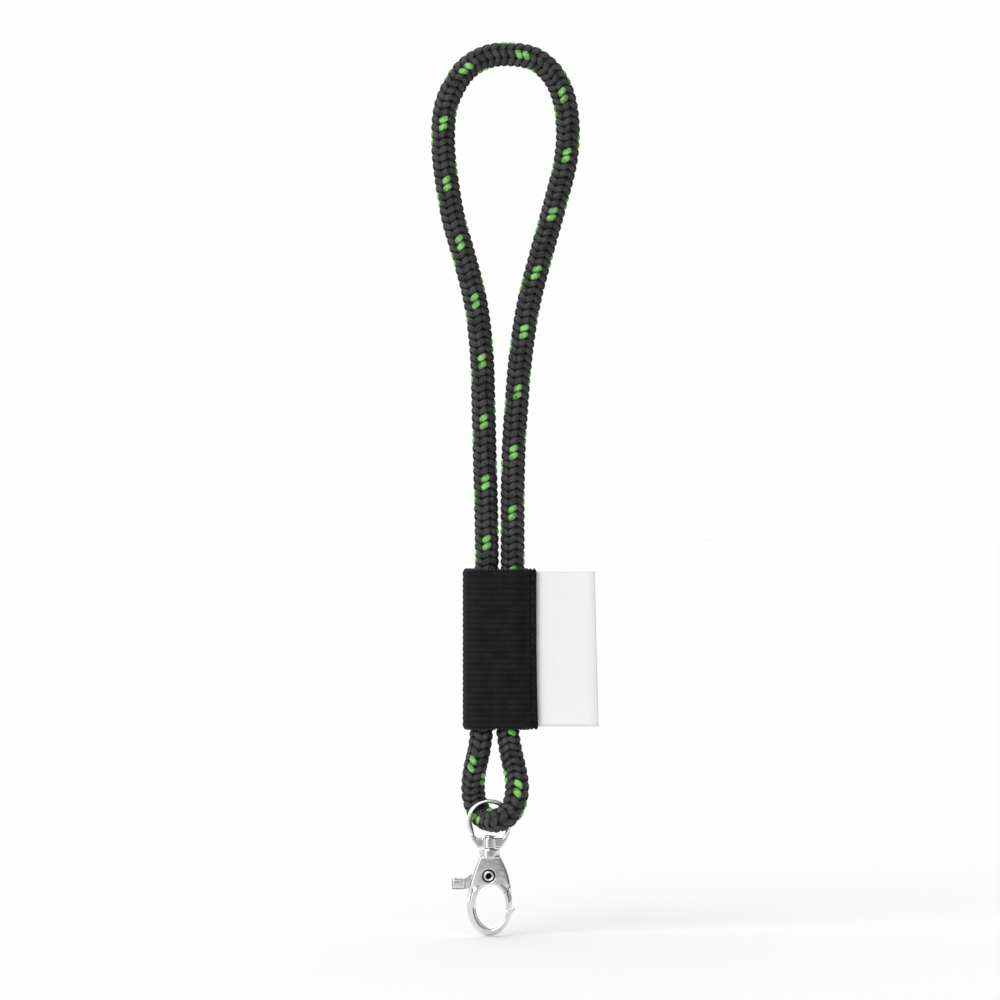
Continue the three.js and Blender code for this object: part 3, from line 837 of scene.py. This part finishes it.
def turned(name, profile, centre, axis, steps):
    """A piece turned on a lathe: a closed or axis-to-axis profile of (radius, height) points."""
    bm = bmesh.new()
    points = [bm.verts.new((radius * MM, 0, height * MM)) for radius, height in profile]
    chain = [bm.edges.new(pair) for pair in zip(points, points[1:])]
    bmesh.ops.spin(
        bm, geom=points + chain, cent=(0, 0, 0), axis=(0, 0, 1), angle=math.tau, steps=steps,
        use_merge=True, use_duplicate=False,
    )
    bmesh.ops.remove_doubles(bm, verts=bm.verts, dist=0.001 * MM)
    bmesh.ops.recalc_face_normals(bm, faces=bm.faces)
    bmesh.ops.rotate(
        bm, verts=bm.verts, cent=(0, 0, 0),
        matrix=Vector((0, 0, 1)).rotation_difference(Vector(axis)).to_matrix(),
    )
    bmesh.ops.translate(bm, verts=bm.verts, vec=centre)
    for face in bm.faces:
        face.smooth = True
    mesh = bpy.data.meshes.new(name)
    bm.to_mesh(mesh)
    bm.free()
    piece = bpy.data.objects.new(name, mesh)
    scene.collection.objects.link(piece)
    return piece


# Plating: hair scratches one way, a slow ripple of the casting under them, and handled patches.
plating, given, result = effect("plating", {"Scratches": 260.0, "Ripple": 420.0})
squeeze = node(
    plating, "ShaderNodeVectorMath", {0: given["Vector"], 1: (14.0, 14.0, 1.0)}, operation="MULTIPLY",
)
hairs = node(
    plating, "ShaderNodeTexNoise",
    {"Vector": squeeze.outputs[0], "Scale": given["Scratches"], "Detail": 3.0, "Roughness": 0.7},
)
wave = node(
    plating, "ShaderNodeTexNoise",
    {"Vector": given["Vector"], "Scale": given["Ripple"], "Detail": 1.0, "Roughness": 0.4},
)
surface = node(
    plating, "ShaderNodeMath", {0: hairs.outputs["Fac"], 1: 0.05, 2: wave.outputs["Fac"]},
    operation="MULTIPLY_ADD",
)
plating.links.new(wave.outputs["Fac"], result.inputs["Shade"])
plating.links.new(surface.outputs[0], result.inputs["Height"])

nickel = finish_of(
    "bright_nickel", plating, {"Scratches": 260.0, "Ripple": 420.0}, None, (0.66, 0.655, 0.65),
    (0.8, 0.8, 0.795), 0.03 * MM, Metallic=1.0, Roughness=0.13,
)
shown = nickel.node_tree
shader = shown.nodes["Principled BSDF"]
pattern = next(part for part in shown.nodes if part.type == "GROUP")
handled = node(
    shown, "ShaderNodeMapRange",
    {"Value": pattern.outputs["Shade"], "From Min": 0.3, "From Max": 0.7, "To Min": 0.17, "To Max": 0.08},
)
# The recess attribute paints the plating dark in its creases and round the gate rivet's seats: painted
# shade. It also roughens them.
crease = node(shown, "ShaderNodeAttribute", {}, attribute_name="recess")
dulled = node(
    shown, "ShaderNodeMath", {0: crease.outputs["Fac"], 1: 0.5, 2: handled.outputs[0]},
    operation="MULTIPLY_ADD", use_clamp=True,
)
shown.links.new(dulled.outputs[0], shader.inputs["Roughness"])
unshaded_colour = shader.inputs["Base Color"].links[0].from_socket
crease_shaded = node(
    shown, "ShaderNodeMix", {0: crease.outputs["Fac"], 6: unshaded_colour, 7: (0.03, 0.03, 0.03, 1)},
    data_type="RGBA", clamp_factor=True,
)
shown.links.new(crease_shaded.outputs[2], shader.inputs["Base Color"])

eye_low, eye_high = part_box("swivel_eye")
ring_radius = (eye_high.x - eye_low.x) / 2
ring_middle = Vector(((eye_low.x + eye_high.x) / 2, 0, eye_high.z - ring_radius))
ring_wire = 1.3 * MM
ring_round = 0.93


def round_wire(place):
    """Rounds the ring's upper part, so that its section is an oval and not a flat bar."""
    spoke = Vector((place.x, 0, place.z)) - ring_middle
    share = (ring_radius - spoke.length) / ring_wire * 2 - 1
    ease = min(1, max(0, (place.z - ring_middle.z) / ring_radius + 0.75))
    if abs(share) < 1.2 and ease > 0:
        arc = math.sqrt(max(0.05, 1 - (ring_round * share) ** 2))
        place.y *= 1 + (arc - 1) * ease
    return place, 0


eye = cast("cast_eye", "swivel_eye", 0.09 * MM, 10, 0.05 * MM, round_wire)
eye.data.materials.append(nickel)
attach(eye, "eye")


# ---------------------------------------------------------------------------------------------
# Swivel rivet: a plated steel pin with a domed head inside the eye. Its shank runs down through
# the boss into the hook's neck, so that the hook turns under the eye.
# ---------------------------------------------------------------------------------------------
rivet_low, rivet_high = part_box("swivel_rivet")
rivet_middle = (rivet_low + rivet_high) / 2
rivet_length = (rivet_high.z - rivet_low.z) / MM
head_radius = (rivet_high.x - rivet_low.x) / 2 / MM
head_height = 1.0
head_rim = 0.25
head_crown = 0.45
shank = 1.0
rim_top = rivet_length - head_height + head_rim
dome = [
    (head_radius * math.cos(rise), rim_top + head_crown * math.sin(rise))
    for rise in (quarter * step / 8 for step in range(8))
]
swivel_rivet = turned(
    "rivet_of_swivel",
    [(0, 0), (shank - 0.15, 0), (shank, 0.15), (shank, rivet_length - head_height),
     (head_radius - 0.12, rivet_length - head_height),
     (head_radius, rivet_length - head_height + 0.1)] + dome + [(0, rim_top + head_crown)],
    (rivet_middle.x, 0, rivet_low.z), (0, 0, 1), 40,
)
swivel_rivet.data.materials.append(nickel)
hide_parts("swivel_rivet")
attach(swivel_rivet, "hook")


# ---------------------------------------------------------------------------------------------
# Hook body: one zinc casting. A round collar turns under the eye, a deep pear-shaped head is
# slotted for the gate, and a thinner band runs round to the tip that the gate shuts against.
# ---------------------------------------------------------------------------------------------
clasp_x = ring_middle.x
pivot = Vector((-5.5, 0, -230.7)) * MM
hook_middle_z = -239.2 * MM
hook_radii = (6.35 * MM, 8.6 * MM)
opening_middle = Vector((-4.97, 0, -239.25)) * MM
opening_radii = (4.4 * MM, 6.25 * MM)
head_foot_z = -236.4 * MM
head_ease = 3.2 * MM
band_round = 0.93
head_crown = 0.34
seat_radius = 1.66 * MM
seat_width = 0.2 * MM
seat_depth = 0.5 * MM


tip_inside = 4.6 * MM
tip_lip = 0.8 * MM
tip_z = -240.4 * MM
tip_height = 1.1 * MM


def oval_reach(place, middle_x, middle_z, radii):
    """How far out a point is from the middle of an upright oval: 1 on its line."""
    return math.hypot((place.x - middle_x) / radii[0], (place.z - middle_z) / radii[1])


def modelled_hook(place):
    """Rounds the band, crowns the head, and sinks a ring round each end of the gate's rivet."""
    inner = oval_reach(place, opening_middle.x, opening_middle.z, opening_radii) - 1
    outer = 1 - oval_reach(place, clasp_x, hook_middle_z, hook_radii)
    share = min(1, max(-1, 2 * inner / max(1e-6, inner + outer) - 1))
    band = math.sqrt(1 - (band_round * share) ** 2)
    across = (place.x - clasp_x) / hook_radii[0]
    head = 1 - head_crown * across * across
    up = min(1, max(0, (place.z - head_foot_z) / head_ease))
    blend = up * up * (3 - 2 * up)
    if place.z < rivet_neck_z:
        place.y *= band + (head - band) * blend
    from_pivot = math.hypot(place.x - pivot.x, place.z - pivot.z)
    sunk = seat_depth * math.exp(-((from_pivot - seat_radius) / seat_width) ** 2)
    if abs(place.y) > 1.6 * MM:
        place.y -= math.copysign(sunk, place.y)
    # The sunk ring is painted dark as well: painted shade.
    return place, 1.2 * sunk / seat_depth


def hook_with_tip(place):
    """The hook's tip stands out a little, as a lip in front of the gate's end."""
    right = min(1, max(0, (place.x - clasp_x - tip_inside) / (hook_radii[0] - tip_inside)))
    place.x += tip_lip * right * math.exp(-((place.z - tip_z) / tip_height) ** 2)
    return modelled_hook(place)


rivet_neck_z = -225.6 * MM
hook = cast("cast_hook", "hook_body", 0.12 * MM, 12, 0.08 * MM, hook_with_tip)
hook.data.materials.append(nickel)
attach(hook, "hook")


# ---------------------------------------------------------------------------------------------
# Gate: a small casting that turns in the head's slot, with the closing bar at the right and a
# thumb lever standing out at the left.
# ---------------------------------------------------------------------------------------------
def modelled_gate(place):
    """The closing bar follows the band's round section; the plate and the lever stay as they are."""
    if place.z < pivot.z - 3.5 * MM and place.x > pivot.x:
        return modelled_hook(place)
    if place.z > lever_middle_z:
        place.z += lever_fillet * math.exp(-((place.x - lever_root_x) / lever_root_width) ** 2)
    if abs(place.y) < lever_plate_half and place.x < lever_neck_x:
        thicken = min(1, (lever_neck_x - place.x) / lever_neck_width)
        place.y *= 1 + lever_neck_swell * thicken * thicken
    return place, 0


lever_middle_z = -233.0 * MM
lever_fillet = 1.4 * MM
lever_root_x = -10.6 * MM
lever_root_width = 1.15 * MM
lever_plate_half = 0.78 * MM
lever_neck_x = -11.4 * MM
lever_neck_width = 1.0 * MM
lever_neck_swell = 1.35
gate = cast("cast_gate", "gate", 0.1 * MM, 22, 0.09 * MM, modelled_gate)
gate.data.materials.append(nickel)
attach(gate, "gate")


# ---------------------------------------------------------------------------------------------
# Gate rivet: a hollow steel rivet through both cheeks and the gate, its two ends rolled over.
# ---------------------------------------------------------------------------------------------
pin_low, pin_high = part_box("gate_rivet")
pin_centre = (pin_low + pin_high) / 2
half_length = (pin_high.y - pin_low.y) / 2 / MM
flange = (pin_high.x - pin_low.x) / 2 / MM
bore = 0.8
barrel = 1.1
roll = 0.35
web = 0.6
roll_middle = (flange + bore) / 2
rolled = [
    (roll_middle - (flange - bore) / 2 * math.cos(turn), half_length - roll + roll * math.sin(turn))
    for turn in (math.pi * step / 12 for step in range(13))
]
# The rivet's bore gets a near-black material: painted shade in the hole.
bore_shade = finish_of(
    "bore_shade", plating, {"Scratches": 500.0, "Ripple": 900.0}, None, (0.015, 0.015, 0.015),
    (0.04, 0.04, 0.04), 0.05 * MM, Metallic=0.6, Roughness=0.6,
)
gate_rivet = turned(
    "rolled_rivet",
    [(0, web), (bore, web)] + rolled + [(barrel, half_length - roll), (barrel, roll - half_length)]
    + [(radius, -height) for radius, height in reversed(rolled)] + [(bore, -web), (0, -web)],
    pin_centre, (0, 1, 0), 48,
)
gate_rivet.data.materials.append(nickel)
gate_rivet.data.materials.append(bore_shade)
for face in gate_rivet.data.polygons:
    from_axis = Vector((face.center.x - pin_centre.x, face.center.z - pin_centre.z)).length
    if from_axis < (bore + 0.02) * MM:
        face.material_index = 1
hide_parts("gate_rivet")
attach(gate_rivet, "hook")


# ---------------------------------------------------------------------------------------------
# Gate spring: a short compression coil of hard-drawn spring steel wire in the head's slot, between
# the slot's roof and the gate's lever. The lever squeezes it as the gate opens.
# ---------------------------------------------------------------------------------------------
wire_radius = 0.15 * MM
coil_radius = 0.6 * MM
coil_turns = 4
steps_a_turn = 20
wire_sides = 10

coil_low, coil_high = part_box("gate_spring")
coil_middle = (coil_low + coil_high) / 2
coil_steps = coil_turns * steps_a_turn
climb = coil_high.z - coil_low.z - 2 * wire_radius

bm = bmesh.new()
upright = Matrix.Rotation(math.radians(90), 4, "X")
bmesh.ops.create_circle(bm, segments=wire_sides, radius=wire_radius, matrix=upright)
foot = Vector((coil_middle.x + coil_radius, coil_middle.y, coil_low.z + wire_radius))
bmesh.ops.translate(bm, verts=bm.verts, vec=foot)
bmesh.ops.spin(
    bm, geom=bm.verts[:] + bm.edges[:], cent=coil_middle, axis=(0, 0, 1),
    dvec=(0, 0, climb / coil_steps), angle=math.tau * coil_turns, steps=coil_steps,
)
bmesh.ops.holes_fill(bm, edges=[edge for edge in bm.edges if edge.is_boundary], sides=0)
bmesh.ops.recalc_face_normals(bm, faces=bm.faces)
for face in bm.faces:
    face.smooth = len(face.verts) == 4
mesh = bpy.data.meshes.new("coil_spring")
bm.to_mesh(mesh)
bm.free()
coil_spring = bpy.data.objects.new("coil_spring", mesh)
scene.collection.objects.link(coil_spring)
spring_wire = finish_of(
    "spring_wire", plating, {"Scratches": 900.0, "Ripple": 900.0}, None, (0.3, 0.3, 0.31),
    (0.45, 0.45, 0.46), 0.02 * MM, Metallic=1.0, Roughness=0.32,
)
coil_spring.data.materials.append(spring_wire)
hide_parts("gate_spring")
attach(coil_spring, "hook")
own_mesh(coil_spring)


# ---------------------------------------------------------------------------------------------
# Studio: a pale floor just under the clasp, a white surround and a broad soft key from the upper
# left. What the plated metal reflects is graded, with one dark band, as between white panels.
# ---------------------------------------------------------------------------------------------
floor_drop = 0.4 * MM
white = 0.985
surround = 1.45
floor_reach = 8
floor_front = -0.22

bm = bmesh.new()
bmesh.ops.create_grid(bm, x_segments=1, y_segments=1, size=floor_reach)
bmesh.ops.translate(bm, verts=bm.verts, vec=(0, floor_reach + floor_front, cad_box[0].z - floor_drop))
floor = bpy.data.objects.new("floor", bpy.data.meshes.new("floor"))
bm.to_mesh(floor.data)
bm.free()
scene.collection.objects.link(floor)
paint = bpy.data.materials.new("floor_paint")
paint.use_nodes = True
floor_shader = paint.node_tree.nodes["Principled BSDF"]
floor_shader.inputs["Base Color"].default_value = (0.87, 0.87, 0.87, 1)
floor_shader.inputs["Roughness"].default_value = 1.0
floor_shader.inputs["Specular IOR Level"].default_value = 0.0
floor_shader.inputs["Emission Color"].default_value = (1, 1, 1, 1)
floor_shader.inputs["Emission Strength"].default_value = 0.015
floor.data.materials.append(paint)

world = bpy.data.worlds.new("studio")
world.use_nodes = True
sky = world.node_tree
backdrop = sky.nodes["Background"]
backdrop.inputs["Color"].default_value = (1, 1, 1, 1)
towards = node(sky, "ShaderNodeTexCoord", {})
split = node(sky, "ShaderNodeSeparateXYZ", {0: towards.outputs["Generated"]})
forward = node(
    sky, "ShaderNodeMapRange", {"Value": split.outputs["Y"], "From Min": -1.0, "From Max": 1.0},
)
panels = node(sky, "ShaderNodeValToRGB", {"Fac": forward.outputs[0]})
ray = node(sky, "ShaderNodeLightPath", {})
bands = panels.color_ramp
for place, tone in (
    (0.0, 0.3), (0.03, 0.4), (0.09, 1.0), (0.2, 1.0), (0.26, 0.04), (0.4, 0.04), (0.46, 1.0),
):
    stop = bands.elements[0] if place == 0.0 else bands.elements.new(place)
    stop.color = (tone, tone, tone, 1)
bands.elements[-1].color = (1, 1, 1, 1)
shaded_side = node(
    sky, "ShaderNodeMapRange",
    {"Value": split.outputs["X"], "From Min": 0.0, "From Max": 0.5, "To Min": 1.0, "To Max": 0.3},
)
reflected = node(
    sky, "ShaderNodeMath", {0: panels.outputs["Color"], 1: shaded_side.outputs[0]}, operation="MULTIPLY",
)
lit = node(sky, "ShaderNodeMath", {0: reflected.outputs[0], 1: surround}, operation="MULTIPLY")
level = node(sky, "ShaderNodeMix", {0: ray.outputs["Is Camera Ray"], 2: lit.outputs[0], 3: white})
sky.links.new(level.outputs[0], backdrop.inputs["Strength"])
scene.world = world
scene.view_settings.view_transform = "Standard"

key = bpy.data.objects.new("key", bpy.data.lights.new("key", "SUN"))
key.data.angle = math.radians(48)
key.data.energy = 1.6
key.rotation_euler = Vector((0.5, 0.75, -0.6)).to_track_quat("-Z", "Y").to_euler()
scene.collection.objects.link(key)
